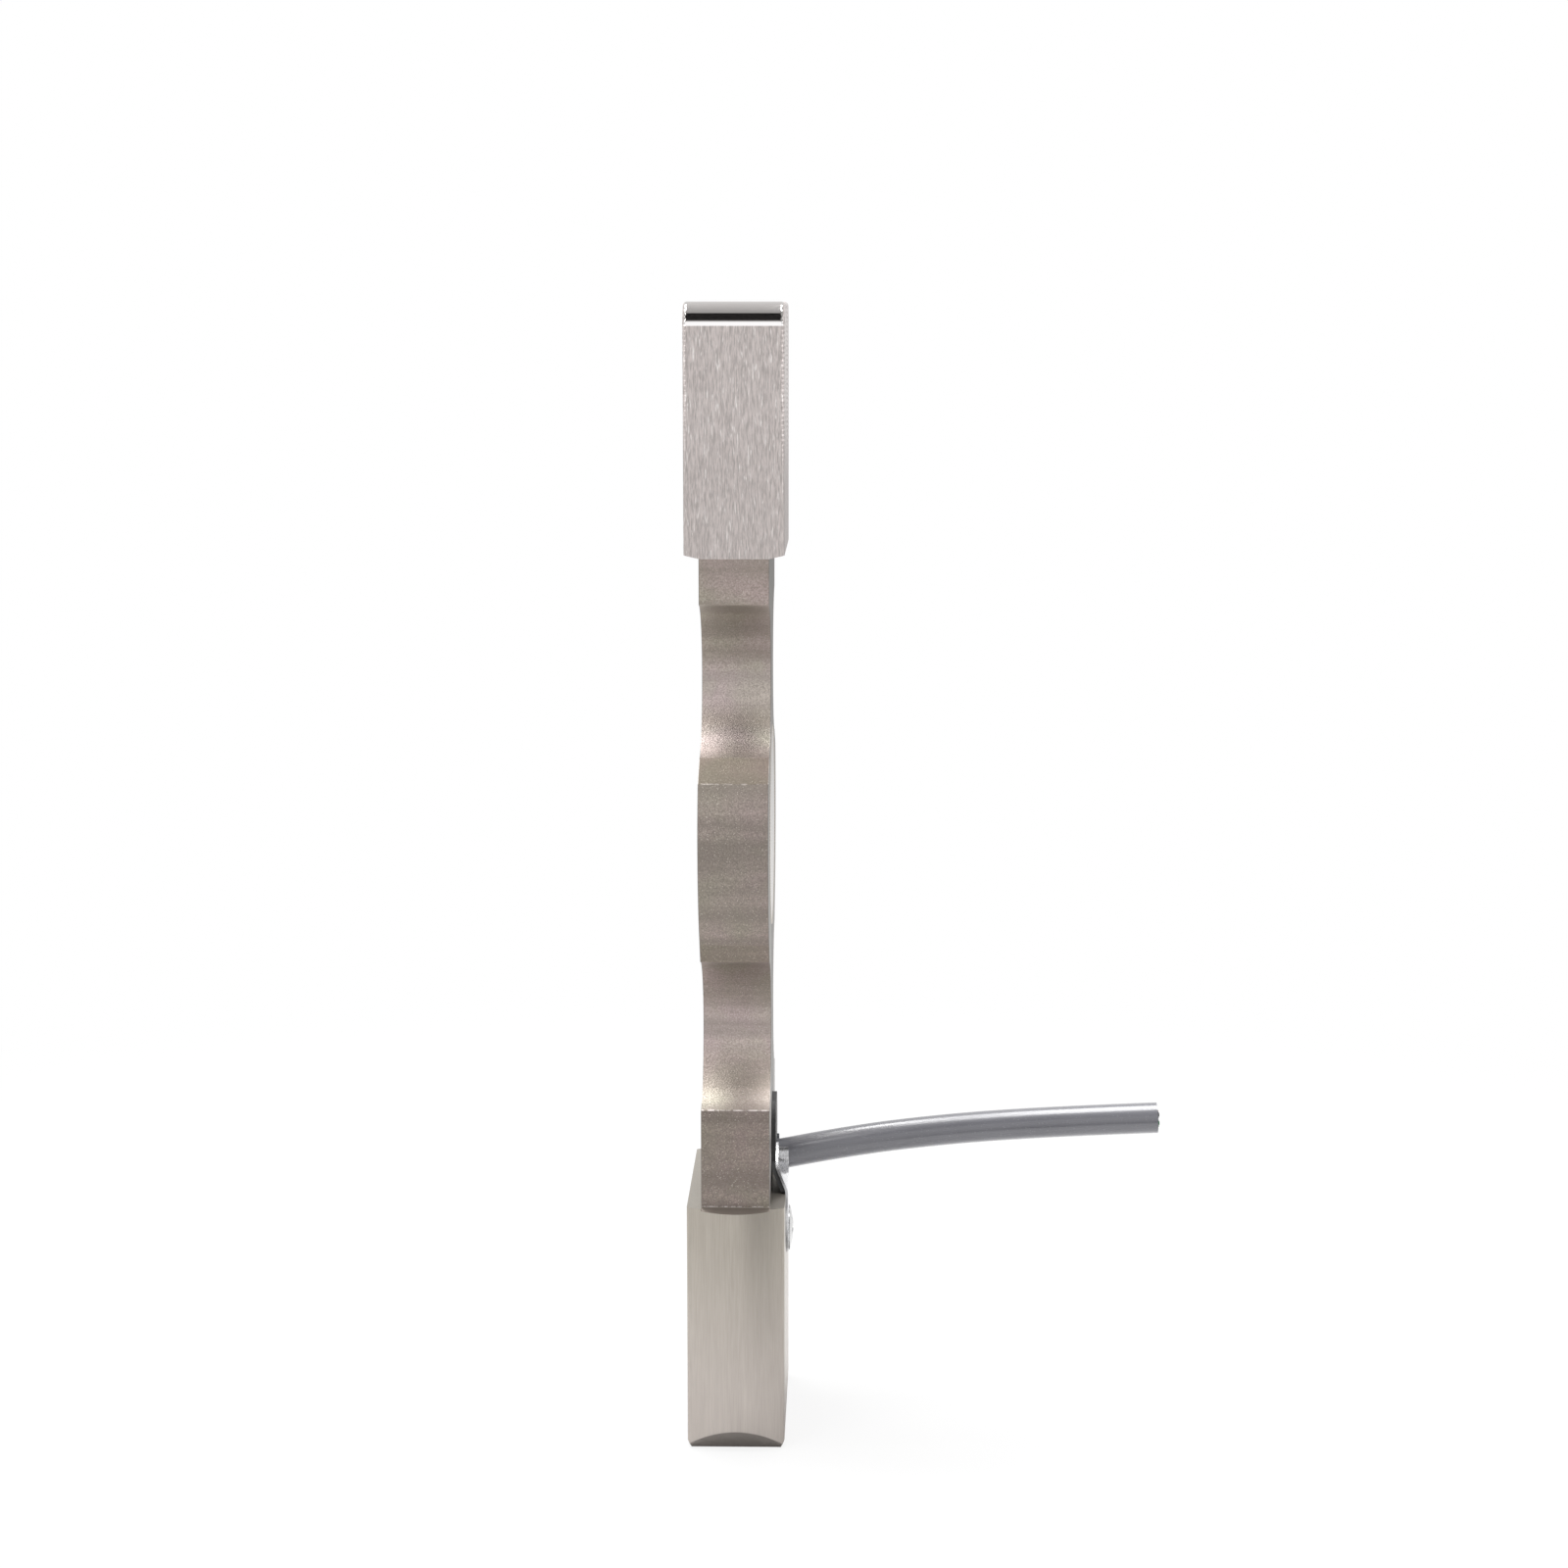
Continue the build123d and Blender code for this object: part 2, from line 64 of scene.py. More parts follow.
# Where the element's finish changes: heights along Z, and distances from its middle along X and Y
LOWER_BLOCK_TOP = 25.6 * MM
UPPER_BLOCK_FOOT = 91.85 * MM
SHOULDER_FOOT = 69.9 * MM
SHOULDER_TOP = 72.0 * MM
SHOULDER_DEPTH = 10.02 * MM
MIDDLE_SIDE = 3.5 * MM
LEDGE_DEPTH = 11.0 * MM
BEVEL_DEPTH = 10.8 * MM

# Centre and radius of the round along each top edge, in Y and Z
ROUND_DEPTH = 8.6 * MM
ROUND_HEIGHT = 114.6 * MM
ROUND_RADIUS = 2.36 * MM

# Height of the point about which the milling cutter's arcs run
MILL_CENTRE = 20 * MM

# Edges with a painted highlight line, for the light each edge catches: its height in mm and its strength
EDGE_GLINT_LINES = ((25.72, 1.0), (69.9, 0.4), (35.79, 1.0))

# Painted light and shade on the wire-cut faces, in part their own tone, set after the photograph's light
# and dark
# stretches of these faces: the lighter stretches stand in for light and the darker ones for shade. Each has
# the heights in mm where it starts, is full from, is full to and ends, and its factors on the colour.
CUT_TONE_AND_PAINTED_LIGHT = (
    (20.0, 21.0, 35.75, 35.8, (0.83, 0.81, 0.81)),
    (35.8, 35.9, 51.1, 51.2, (1.13, 1.13, 1.13)),
    (35.8, 35.9, 36.4, 37.6, (1.16, 1.2, 1.2)),
    (39.0, 42.4, 43.8, 46.6, (1.34, 1.33, 1.40)),
    (51.1, 51.2, 53.0, 53.4, (0.87, 0.87, 0.82)),
    (72.0, 73.2, 74.0, 75.0, (0.87, 0.89, 0.91)),
    (75.0, 77.4, 79.0, 82.0, (1.28, 1.26, 1.36)),
    (84.5, 86.5, 87.3, 87.35, (1.25, 1.25, 1.25)),
)

# Fixed colours of small marks on the element, and of the painted highlights along its edges and rounds
FLECK_COLOUR = (0.96, 0.92, 0.9)
SPARK_COLOUR = (0.70, 0.65, 0.58)
STAIN_COLOUR = (0.22, 0.19, 0.17)
EDGE_GLINT_COLOUR = (0.82, 0.77, 0.75)
ROUND_HIGHLIGHT_COLOUR = (0.98, 0.96, 0.96)

# The cable's cores, in their order round the cut end
CORE_COLOURS = {
    "red": (0.42, 0.02, 0.015),
    "black": (0.015, 0.015, 0.015),
    "green": (0.015, 0.16, 0.05),
    "white": (0.68, 0.68, 0.66),
}

# Depth of the screen and of each core in the cable's cut end
PLUG_DEPTH = 0.6 * MM

# The cable's centre line, in metres, from its entry in the element to its cut end
CABLE_ROUTE = [
    (0.0028, 0.0, 0.0279),
    (0.0110, 0.0, 0.0296),
    (0.0220, 0.0, 0.03105),
    (0.0335, 0.0, 0.0319),
    (0.0439, 0.0, 0.03235),
]

# Dark cards, one above the camera and one before the cable: place, tilt in degrees about X, and size
CARDS = {
    "high_flag": ((-0.02, -0.52, 0.62), 46, (0.2, 0.48, 1)),
    "low_flag": ((0.041, -0.125, 0.002), 0, (0.052, 0.12, 1)),
}
FELT_SHADES = ((0.05, 0.047, 0.048), (0.075, 0.07, 0.072))

# Lamps: place, target, and size across and along
LAMPS = {
    "top": ((-0.17, 0.13, 0.60), (-0.17, 0.13, 0), (0.24, 0.42)),
    "cable": ((0.09, 0.10, 0.60), (0.09, 0.10, 0), (0.17, 0.42)),
    "left": ((-0.30, -0.35, 0.50), (0, 0, 0.07), (0.3, 0.3)),
    "right": ((0.55, -0.30, 0.25), (0, 0, 0.06), (0.3, 0.3)),
}


# Sizes and colours that a user would change


def length_property(name, description, default):
    """A length in metres, shown in the scene's unit."""
    return bpy.props.FloatProperty(
        name=name, description=description, default=default, min=0.0, unit="LENGTH", precision=5
    )


def colour_property(name, description, default):
    """A linear colour without alpha."""
    return bpy.props.FloatVectorProperty(
        name=name, description=description, default=default, size=3, min=0.0, max=1.0, subtype="COLOR"
    )


def share_property(name, description, default):
    """A share from 0 to 1."""
    return bpy.props.FloatProperty(
        name=name, description=description, default=default, min=0.0, max=1.0, subtype="FACTOR"
    )


def level_property(name, description, default):
    """The level of a lamp, in watts, or of the room."""
    return bpy.props.FloatProperty(name=name, description=description, default=default, min=0.0)


class ElementFinish(bpy.types.PropertyGroup):
    """Colours and surface of the steel element."""

    block_colour: colour_property("End blocks", "Ground and brushed end blocks", (0.60, 0.545, 0.528))
    cut_colour: colour_property("Wire-cut faces", "Necks and ring, cut by wire", (0.335, 0.292, 0.257))
    flat_colour: colour_property("Milled flats", "The two wide sides of the middle", (0.22, 0.21, 0.198))
    polish_colour: colour_property("Polished rounds", "Rounds along the top edges", (0.33, 0.315, 0.307))
    # The foot bevels' colour is dark for painted shade, besides their duller finish.
    bevel_shade_colour: colour_property("Foot bevels", "Dull bevels at the block's foot", (0.17, 0.158, 0.15))
    block_roughness: share_property("Block roughness", "How soft the blocks' reflections are", 0.36)
    cut_roughness: share_property("Cut roughness", "How soft the wire-cut faces' reflections are", 0.52)
    streak_width: length_property("Streak width", "Width of a brush mark", 0.00012)
    streak_length: length_property("Streak length", "Length of a brush mark", 0.0011)
    grain_size: length_property("Grain size", "Size of a wire-cut crater", 0.00017)
    mill_pitch: length_property("Mill pitch", "Distance between milling marks on the upper block", 0.00048)


class FittingFinish(bpy.types.PropertyGroup):
    """Colours of the clip, its screw, the pad, the cable and the inner parts."""

    sheet_colour: colour_property("Clip", "Bright stainless sheet", (0.52, 0.52, 0.53))
    screw_colour: colour_property("Screw", "Bright stainless screw", (0.47, 0.47, 0.47))
    cover_colour: colour_property("Covers", "Thin welded covers", (0.50, 0.48, 0.46))
    weld_colour: colour_property("Weld", "Heat-tinted weld bead", (0.42, 0.37, 0.31))
    rubber_colour: colour_property("Pad", "Black rubber", (0.018, 0.018, 0.019))
    jacket_colour: colour_property("Cable jacket", "Grey jacket", (0.122, 0.122, 0.139))
    film_colour: colour_property("Gauge film", "Amber gauge film", (0.48, 0.20, 0.035))
    foil_colour: colour_property("Gauge foil", "Grid of the gauges", (0.42, 0.38, 0.33))
    board_colour: colour_property("Board", "Coated terminal board", (0.012, 0.11, 0.045))


class ThreadSizes(bpy.types.PropertyGroup):
    """Sizes of the thread in each end."""

    wall_radius: length_property("Wall radius", "Radius of the drilled wall", 0.0025)
    pitch: length_property("Pitch", "Rise of one turn", 0.001)
    tooth: length_property("Tooth", "How far a turn stands in from the wall", 0.00028)
    turns: bpy.props.IntProperty(name="Turns", description="Turns in each end", default=11, min=1, max=40)
    mouth: length_property("Mouth", "Depth of the plain countersink", 0.0006)


class CableSizes(bpy.types.PropertyGroup):
    """Sizes of the cable and of its cut end."""

    diameter: length_property("Diameter", "Outer diameter of the jacket", 0.0032)
    core_diameter: length_property("Core", "Outer diameter of one core", 0.00082)
    core_reach: length_property("Core reach", "How far a core stands out of the cut end", 0.00012)
    filler_diameter: length_property("Screen", "Diameter inside the jacket", 0.0024)


class StudioSettings(bpy.types.PropertyGroup):
    """Camera, lamps and floor."""

    eye: bpy.props.FloatVectorProperty(
        name="Camera place", description="Where the camera stands", size=3, subtype="TRANSLATION",
        default=(0.01102, -0.31068, 0.11585),
    )
    tilt: bpy.props.FloatProperty(
        name="Camera tilt", description="Turn about X, 90 degrees is level", default=math.radians(81.19),
        subtype="ANGLE",
    )
    pan: bpy.props.FloatProperty(
        name="Camera pan", description="Turn about Z", default=math.radians(1.16), subtype="ANGLE"
    )
    lens: bpy.props.FloatProperty(name="Lens", description="Focal length in millimetres", default=69.75)
    top_level: level_property("Top lamp", "Power of the lamp above and behind", 4.0)
    cable_level: level_property("Cable lamp", "Power of the lamp above the cable", 2.2)
    left_level: level_property("Left lamp", "Power of the lamp at the front left", 1.2)
    right_level: level_property("Right lamp", "Power of the lamp at the right", 0.3)
    room_level: level_property("Room", "Light of the room on dull things", 0.4)
    floor_colour: colour_property("Floor", "Plain pale floor", (0.72, 0.72, 0.72))


# Helpers for shader nodes


def fill(tree, socket, value):
    """Links another node's output to a socket, or sets a plain value on it; a colour gets its alpha."""
    if isinstance(value, bpy.types.NodeSocket):
        tree.links.new(value, socket)
    elif socket.type == "RGBA" and len(value) == 3:
        socket.default_value = (*value, 1.0)
    else:
        socket.default_value = value


def put(tree, kind, inputs=None, **settings):
    """Adds a shader node with its settings and fills its inputs."""
    made = tree.nodes.new(kind)
    for key, value in settings.items():
        setattr(made, key, value)
    for key, value in (inputs or {}).items():
        fill(tree, made.inputs[key], value)
    return made


def calc(tree, operation, first, second=0.0):
    """The output of a Math node."""
    return put(tree, "ShaderNodeMath", {0: first, 1: second}, operation=operation).outputs[0]


def product(tree, *factors):
    """Masks or numbers multiplied together."""
    result = factors[0]
    for factor in factors[1:]:
        result = calc(tree, "MULTIPLY", result, factor)
    return result


def inverse(tree, mask):
    """All that a mask leaves out."""
    return calc(tree, "SUBTRACT", 1.0, mask)


def rise(tree, value, start, end, low=0.0, high=1.0):
    """A smooth step from low to high as a value goes from start to end."""
    made = put(
        tree,
        "ShaderNodeMapRange",
        {"Value": value, "From Min": start, "From Max": end, "To Min": low, "To Max": high},
        interpolation_type="SMOOTHSTEP",
    )
    return made.outputs["Result"]


def mix_colour(tree, share, first, second, mode="MIX"):
    """Two colours blended by a share."""
    inputs = {0: share, 6: first, 7: second}
    return put(tree, "ShaderNodeMix", inputs, data_type="RGBA", blend_type=mode).outputs[2]


def mix_value(tree, share, first, second):
    """Two numbers blended by a share."""
    return put(tree, "ShaderNodeMix", {0: share, 2: first, 3: second}, data_type="FLOAT").outputs[0]


def tinted(tree, colour, tint):
    """A colour times a tint."""
    return mix_colour(tree, 1.0, colour, tint, "MULTIPLY")


def shades(colour, dark, light):
    """A darker and a lighter shade of one colour."""
    return [c * dark for c in colour], [min(1.0, c * light) for c in colour]


def place(tree):
    """The Object coordinates and their three parts, in metres."""
    vector = put(tree, "ShaderNodeTexCoord").outputs["Object"]
    parts = put(tree, "ShaderNodeSeparateXYZ", {0: vector}).outputs
    return vector, parts[0], parts[1], parts[2]


def scaled(tree, vector, factors):
    """A vector times a factor along each axis."""
    return put(tree, "ShaderNodeVectorMath", {0: vector, 1: factors}, operation="MULTIPLY").outputs[0]


def span(tree, first, second):
    """The length of two offsets at right angles."""
    spot = put(tree, "ShaderNodeCombineXYZ", {0: first, 1: second}).outputs[0]
    return put(tree, "ShaderNodeVectorMath", {0: spot}, operation="LENGTH").outputs["Value"]


def noise(tree, vector, scale=1.0, detail=2.0, roughness=0.5, distortion=0.0):
    """The value of a Noise texture."""
    inputs = {"Vector": vector, "Scale": scale, "Detail": detail, "Roughness": roughness}
    return put(tree, "ShaderNodeTexNoise", {**inputs, "Distortion": distortion}).outputs["Fac"]


def bump(tree, height, distance):
    """A Bump node's normal; distance is the real height of a full step, in metres."""
    inputs = {"Height": height, "Distance": distance, "Strength": 1.0}
    return put(tree, "ShaderNodeBump", inputs).outputs["Normal"]


def edge_line(tree, height, edge):
    """A mask for a line a tenth of a millimetre wide, at the height of one edge."""
    off = calc(tree, "ABSOLUTE", calc(tree, "SUBTRACT", height, edge))
    return rise(tree, off, 0.08 * MM, 0.03 * MM)


def new_material(name):
    """A material with its tree and its Principled shader."""
    material = bpy.data.materials.new(name)
    material.use_nodes = True
    tree = material.node_tree
    shader = next(n for n in tree.nodes if n.type == "BSDF_PRINCIPLED")
    return material, tree, shader


def feed(tree, shader, **inputs):
    """Fills the Principled shader's inputs, with _ in a name for a space."""
    for key, value in inputs.items():
        fill(tree, shader.inputs[key.replace("_", " ")], value)


def new_group(name, sizes, masks):
    """An empty shader group that takes a place and some sizes and gives some masks."""
    group = bpy.data.node_groups.new(name, "ShaderNodeTree")
    group.interface.new_socket("Place", in_out="INPUT", socket_type="NodeSocketVector")
    for label in sizes:
        group.interface.new_socket(label, in_out="INPUT", socket_type="NodeSocketFloat")
    for label in masks:
        group.interface.new_socket(label, in_out="OUTPUT", socket_type="NodeSocketFloat")
    start = group.nodes.new("NodeGroupInput")
    end = group.nodes.new("NodeGroupOutput")
    return group, start.outputs, end.inputs


def brush_marks_group():
    """Fine brush marks that run along Z: a mask of streaks and a mask of sparse bright flecks."""
    name = "Brush marks"
    if name in bpy.data.node_groups:
        return bpy.data.node_groups[name]
    group, given, result = new_group(name, ["Width", "Length"], ["Streaks", "Flecks"])
    across = calc(group, "DIVIDE", 1.0, given["Width"])
    along = calc(group, "DIVIDE", 1.0, given["Length"])
    scale = put(group, "ShaderNodeCombineXYZ", {0: across, 1: across, 2: along}).outputs[0]
    stretched = scaled(group, given["Place"], scale)
    fine = noise(group, stretched, 1.0, 3.0, 0.6)
    group.links.new(rise(group, fine, 0.3, 0.7), result["Streaks"])
    shifted = put(
        group, "ShaderNodeVectorMath", {0: stretched, 1: (31.0, 17.0, 5.0)}, operation="ADD"
    ).outputs[0]
    sparse = noise(group, shifted, 0.8, 2.0, 0.55)
    group.links.new(rise(group, sparse, 0.58, 0.74), result["Flecks"])
    return group


def sand_group():
    """The craters of a wire-cut or blasted surface: a mask of grains and a mask of bright sparks."""
    name = "Sand grain"
    if name in bpy.data.node_groups:
        return bpy.data.node_groups[name]
    group, given, result = new_group(name, ["Size"], ["Grains", "Sparks"])
    scale = calc(group, "DIVIDE", 1.0, given["Size"])
    grains = noise(group, given["Place"], scale, 2.5, 0.6)
    group.links.new(rise(group, grains, 0.28, 0.72), result["Grains"])
    finer = product(group, scale, 2.2)
    cells = put(group, "ShaderNodeTexVoronoi", {"Vector": given["Place"], "Scale": finer})
    spark = put(group, "ShaderNodeSeparateColor", {0: cells.outputs["Color"]}).outputs[0]
    group.links.new(rise(group, spark, 0.93, 1.0), result["Sparks"])
    return group


def handling_group():
    """Soft patches of handling and staining, much larger than the grain."""
    name = "Handling"
    if name in bpy.data.node_groups:
        return bpy.data.node_groups[name]
    group, given, result = new_group(name, ["Size"], ["Patches"])
    scale = calc(group, "DIVIDE", 1.0, given["Size"])
    cloud = noise(group, given["Place"], scale, 3.0, 0.55, 0.4)
    group.links.new(rise(group, cloud, 0.32, 0.68), result["Patches"])
    return group


def add_brush(tree, vector, width, length):
    """Brush marks of one width and length, in metres."""
    inputs = {"Place": vector, "Width": width, "Length": length}
    return put(tree, "ShaderNodeGroup", inputs, node_tree=brush_marks_group()).outputs


def add_sand(tree, vector, size):
    """Sand grain of one size, in metres."""
    return put(tree, "ShaderNodeGroup", {"Place": vector, "Size": size}, node_tree=sand_group()).outputs


def add_patches(tree, vector, size):
    """The mask of handling patches of one size, in metres."""
    inputs = {"Place": vector, "Size": size}
    return put(tree, "ShaderNodeGroup", inputs, node_tree=handling_group()).outputs["Patches"]


# Materials


def block_look(tree, finish, vector, z, upper, lower, fine):
    """The colour of the ground and brushed end blocks, and the mask of their streaks."""
    marks = add_brush(tree, vector, finish.streak_width, finish.streak_length)
    soft = add_brush(tree, vector, finish.streak_width * 4, finish.streak_length * 9)["Streaks"]
    streaks = mix_value(tree, upper, fine, marks["Streaks"])
    block = mix_colour(tree, streaks, *shades(finish.block_colour, 0.72, 1.22))
    warm = [c * k for c, k in zip(finish.block_colour, (0.70, 0.70, 0.665))]
    warm = mix_colour(tree, soft, *shades(warm, 0.97, 1.03))
    # Painted shade: the lower block is darker towards its top and lighter towards its foot.
    painted_top_shade = mix_colour(tree, rise(tree, z, 2 * MM, 26 * MM), warm, (0.79, 0.80, 0.745), "MULTIPLY")
    block = mix_colour(tree, product(tree, lower, 0.9), block, painted_top_shade)
    flecks = product(tree, marks["Flecks"], upper, 0.95)
    return mix_colour(tree, flecks, block, FLECK_COLOUR), streaks


def cut_look(tree, finish, vector, z, sand):
    """The colour of the wire-cut faces, with the faint bands that the wire leaves across them, and with
    light and shade painted on them by height.
    """
    bands = noise(tree, scaled(tree, vector, (25.0, 25.0, 420.0)), 1.0, 3.0, 0.6)
    bands = product(tree, rise(tree, bands, 0.3, 0.7), 0.75)
    cut = mix_colour(tree, sand["Grains"], *shades(finish.cut_colour, 0.74, 1.24))
    stained = add_patches(tree, vector, 7 * MM)
    cut = tinted(tree, cut, mix_colour(tree, stained, (0.95, 1.0, 0.94), (1.05, 0.99, 1.06)))
    cut = mix_colour(tree, bands, cut, [c * 0.64 for c in finish.cut_colour])
    # Painted light and shade by height, in part the faces' own tone: lighter above the ring, then lighter
    # or darker in each listed stretch.
    upward = rise(tree, z, 69 * MM, 78 * MM)
    cut = tinted(tree, cut, mix_colour(tree, upward, (0.94, 0.94, 0.94), (1.18, 1.18, 1.18)))
    for start, full_from, full_to, end, tint in CUT_TONE_AND_PAINTED_LIGHT:
        begun = rise(tree, z, start * MM, full_from * MM)
        left = rise(tree, z, end * MM, full_to * MM)
        within = product(tree, begun, left)
        cut = tinted(tree, cut, mix_colour(tree, within, (1.0, 1.0, 1.0), tint))
    return mix_colour(tree, product(tree, sand["Sparks"], 0.4), cut, SPARK_COLOUR)


def edge_glint_mask(tree, vector, z):
    """Painted highlight lines along three edges of the wire-cut faces, broken up along the edge."""
    breaks = noise(tree, scaled(tree, vector, (1800.0, 90.0, 90.0)), 1.0, 2.0, 0.6)
    glint_lines = 0.0
    for height, strength in EDGE_GLINT_LINES:
        glint_lines = calc(tree, "MAXIMUM", glint_lines, product(tree, edge_line(tree, z, height * MM), strength))
    return product(tree, glint_lines, rise(tree, breaks, 0.4, 0.62))


def mill_marks(tree, pitch, wide, y, z):
    """Milling marks on the upper block's two wide sides, as arcs of a large cutter."""
    arc = span(tree, y, calc(tree, "SUBTRACT", z, MILL_CENTRE))
    wave = calc(tree, "SINE", product(tree, arc, 2 * math.pi / pitch))
    sides = rise(tree, wide, 4.6 * MM, 4.8 * MM)
    fade = rise(tree, z, 99 * MM, 107 * MM)
    return product(tree, wave, sides, fade)


def element_material(finish):
    """Ground blocks, wire-cut necks and ring, milled flats and polished rounds, all on one element."""
    material, tree, shader = new_material("element_steel")
    vector, x, y, z = place(tree)
    wide = calc(tree, "ABSOLUTE", x)
    deep = calc(tree, "ABSOLUTE", y)
    upper = rise(tree, z, UPPER_BLOCK_FOOT - 0.02 * MM, UPPER_BLOCK_FOOT)
    lower = rise(tree, z, LOWER_BLOCK_TOP + 0.06 * MM, LOWER_BLOCK_TOP + 0.02 * MM)
    blocks = calc(tree, "MAXIMUM", upper, lower)

    # The middle's two wide faces are milled, and its narrow ones are cut by wire
    flats = rise(tree, wide, MIDDLE_SIDE - 0.08 * MM, MIDDLE_SIDE - 0.02 * MM)
    narrow = inverse(tree, flats)

    fine = add_brush(tree, vector, finish.streak_width * 0.7, finish.streak_length * 3)["Streaks"]
    sand = add_sand(tree, vector, finish.grain_size)
    block, streaks = block_look(tree, finish, vector, z, upper, lower, fine)
    cut = cut_look(tree, finish, vector, z, sand)
    flat = mix_colour(tree, fine, *shades(finish.flat_colour, 0.82, 1.12))

    # Polished rounds along the top edges and dull bevels at the crowned block's foot; the rounds get a
    # painted reflection and highlight, the bevels a painted shade further down
    over = calc(tree, "SUBTRACT", deep, ROUND_DEPTH)
    above = calc(tree, "SUBTRACT", z, ROUND_HEIGHT)
    polished = product(
        tree,
        rise(tree, over, 0.0, 0.05 * MM),
        rise(tree, above, 0.0, 0.05 * MM),
        rise(tree, span(tree, over, above), ROUND_RADIUS - 0.06 * MM, ROUND_RADIUS),
    )
    fall = calc(tree, "SUBTRACT", deep, product(tree, z, FOOT_BEVEL_RUN))
    bevel = rise(tree, fall, BEVEL_DEPTH, BEVEL_DEPTH + 0.03 * MM)

    # The ring's upper shoulders, and the sloping ledge at the lower block's head
    shoulder = product(
        tree,
        rise(tree, z, SHOULDER_FOOT - 0.04 * MM, SHOULDER_FOOT),
        rise(tree, z, SHOULDER_TOP, SHOULDER_TOP - 0.05 * MM),
        rise(tree, deep, SHOULDER_DEPTH, SHOULDER_DEPTH + 0.04 * MM),
        narrow,
    )
    slope = product(tree, calc(tree, "SUBTRACT", deep, LEDGE_DEPTH), HEAD_LEDGE_FALL)
    ledge = product(
        tree,
        rise(tree, deep, LEDGE_DEPTH, LEDGE_DEPTH + 0.02 * MM),
        rise(tree, calc(tree, "ADD", z, slope), LOWER_BLOCK_TOP - 0.02 * MM, LOWER_BLOCK_TOP),
        rise(tree, wide, MIDDLE_SIDE, MIDDLE_SIDE - 0.02 * MM),
        rise(tree, z, LOWER_BLOCK_TOP + 0.02 * MM, LOWER_BLOCK_TOP + 0.01 * MM),
    )

    colour = mix_colour(tree, blocks, mix_colour(tree, flats, cut, flat), block)
    stains = product(tree, add_patches(tree, vector, 14 * MM), 0.10)
    colour = mix_colour(tree, stains, colour, STAIN_COLOUR)
    # Painted reflection and highlight on the polished rounds: lighter towards their top, and a near-white
    # line along their foot.
    polish = mix_colour(tree, rise(tree, above, 1.3 * MM, 2.5 * MM), *shades(finish.polish_colour, 1, 1.75))
    polish = mix_colour(tree, rise(tree, above, 0.5 * MM, 0.36 * MM), polish, ROUND_HIGHLIGHT_COLOUR)
    colour = mix_colour(tree, polished, colour, polish)
    # Painted shade: the foot bevels are painted dark, growing darker away from their upper edge.
    shade = rise(tree, fall, BEVEL_DEPTH, BEVEL_DEPTH + 0.3 * MM, 0.45, 1.0)
    colour = mix_colour(tree, product(tree, bevel, shade), colour, finish.bevel_shade_colour)
    # The ledge under the middle's face is dark partly from its wire-cut finish and partly from painted
    # shade.
    colour = mix_colour(tree, ledge, colour, [c * 0.52 for c in finish.cut_colour])
    colour = mix_colour(tree, shoulder, colour, tinted(tree, cut, (0.93, 0.92, 0.88)))
    # Painted highlights along three edges, where they catch the light.
    glint_lines = product(tree, edge_glint_mask(tree, vector, z), narrow, 0.6)
    colour = mix_colour(tree, glint_lines, colour, EDGE_GLINT_COLOUR)

    rough_block = mix_value(tree, streaks, finish.block_roughness + 0.07, finish.block_roughness - 0.05)
    rough = mix_value(tree, blocks, mix_value(tree, flats, finish.cut_roughness, 0.45), rough_block)
    for mask, value in ((polished, 0.07), (calc(tree, "MAXIMUM", bevel, ledge), 0.5), (shoulder, 0.85)):
        rough = mix_value(tree, mask, rough, value)

    block_height = product(tree, streaks, mix_value(tree, lower, 0.25, 0.08))
    height = mix_value(tree, blocks, product(tree, sand["Grains"], narrow), block_height)
    height = product(tree, height, inverse(tree, calc(tree, "MAXIMUM", polished, bevel)))
    milling = product(tree, mill_marks(tree, finish.mill_pitch, wide, y, z), upper, 1.6)
    feed(
        tree,
        shader,
        Base_Color=colour,
        Metallic=1.0,
        Roughness=rough,
        Normal=bump(tree, calc(tree, "ADD", height, milling), 0.012 * MM),
    )
    return material


def sheet_steel_material(name, colour, roughness, width=0.12 * MM, length=3 * MM):
    """Bright sheet or turned stainless steel with fine marks and soft staining."""
    material, tree, shader = new_material(name)
    vector = place(tree)[0]
    streaks = add_brush(tree, vector, width, length)["Streaks"]
    patches = add_patches(tree, vector, 4 * MM)
    base = mix_colour(tree, streaks, *shades(colour, 0.86, 1.1))
    base = mix_colour(tree, product(tree, patches, 0.14), base, [c * 0.55 for c in colour])
    feed(
        tree,
        shader,
        Base_Color=base,
        Metallic=1.0,
        Roughness=mix_value(tree, patches, roughness - 0.04, roughness + 0.08),
        Normal=bump(tree, streaks, 0.003 * MM),
    )
    return material


def cover_material(colour):
    """A turned cover: fine rings about the bore's axis, a little cleaner at the middle."""
    material, tree, shader = new_material("cover_steel")
    vector, _, y, z = place(tree)
    radius = span(tree, y, calc(tree, "SUBTRACT", z, RING_CENTRE.z))
    rings = put(tree, "ShaderNodeCombineXYZ", {0: product(tree, radius, 9000.0)}).outputs[0]
    turned = rise(tree, noise(tree, rings, 1.0, 3.0, 0.65), 0.3, 0.7)
    patches = add_patches(tree, vector, 5 * MM)
    base = mix_colour(tree, turned, *shades(colour, 0.84, 1.1))
    rim = product(tree, rise(tree, radius, 9.1 * MM, 10.1 * MM), 0.45)
    base = mix_colour(tree, rim, base, (0.36, 0.30, 0.23))
    base = mix_colour(tree, product(tree, patches, 0.12), base, [c * 0.6 for c in colour])
    feed(
        tree,
        shader,
        Base_Color=base,
        Metallic=1.0,
        Roughness=mix_value(tree, turned, 0.36, 0.26),
        Normal=bump(tree, turned, 0.004 * MM),
    )
    return material


